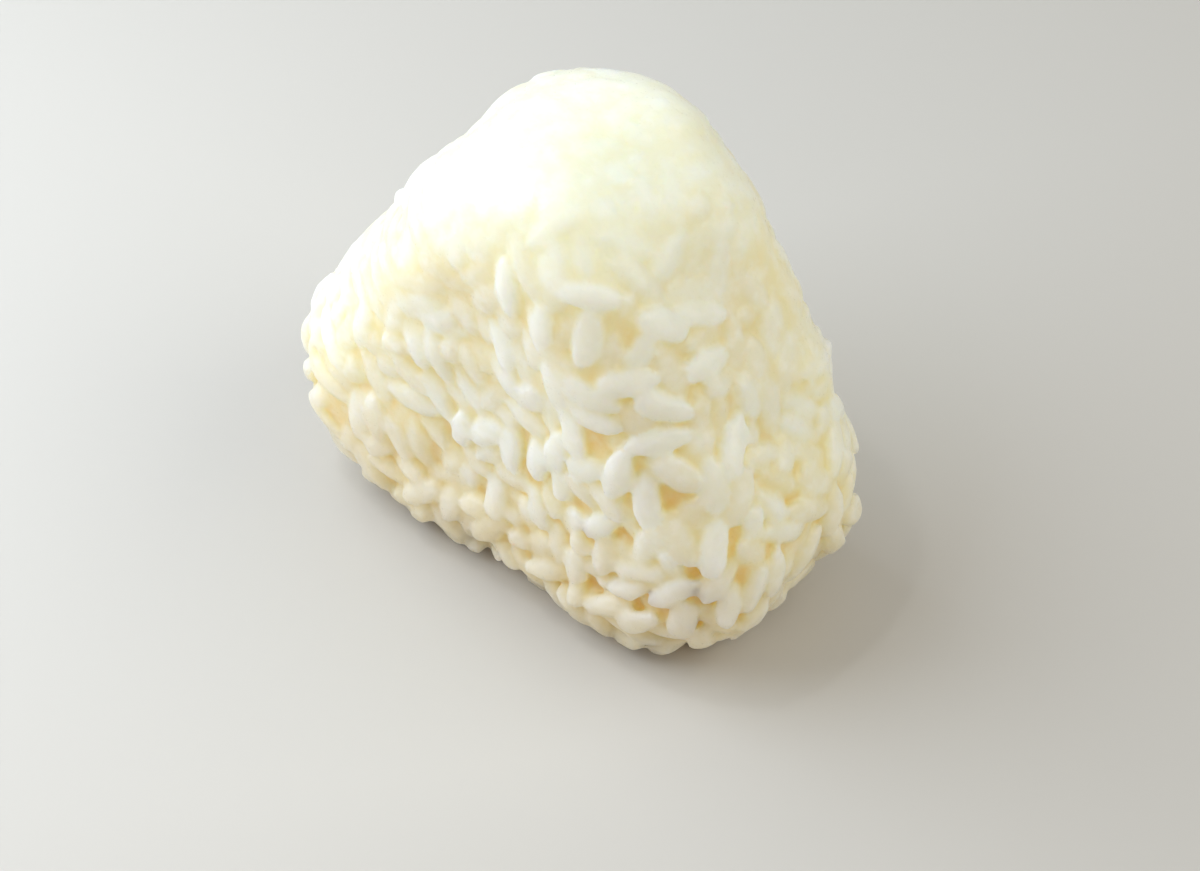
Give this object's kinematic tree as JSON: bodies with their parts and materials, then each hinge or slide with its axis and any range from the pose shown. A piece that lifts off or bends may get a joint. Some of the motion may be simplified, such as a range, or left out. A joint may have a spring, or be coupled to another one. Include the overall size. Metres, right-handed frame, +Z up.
{
  "type": "plain onigiri",
  "caption": "Plain rice ball pressed by hand into a plump, rounded triangle that stands on a flat base, with cooked short grains showing all over.",
  "frame": {"origin": "middle of the flat underside that the ball stands on", "axes": "+X along the base of the triangle; +Y through the thickness; +Z up, from the base to the top corner"},
  "size_m": [0.0766, 0.0384, 0.0694],
  "materials": {
    "rice": null
  },
  "bodies": {
    "root": {"pressed_rice": "rice"}
  },
  "joints": []
}
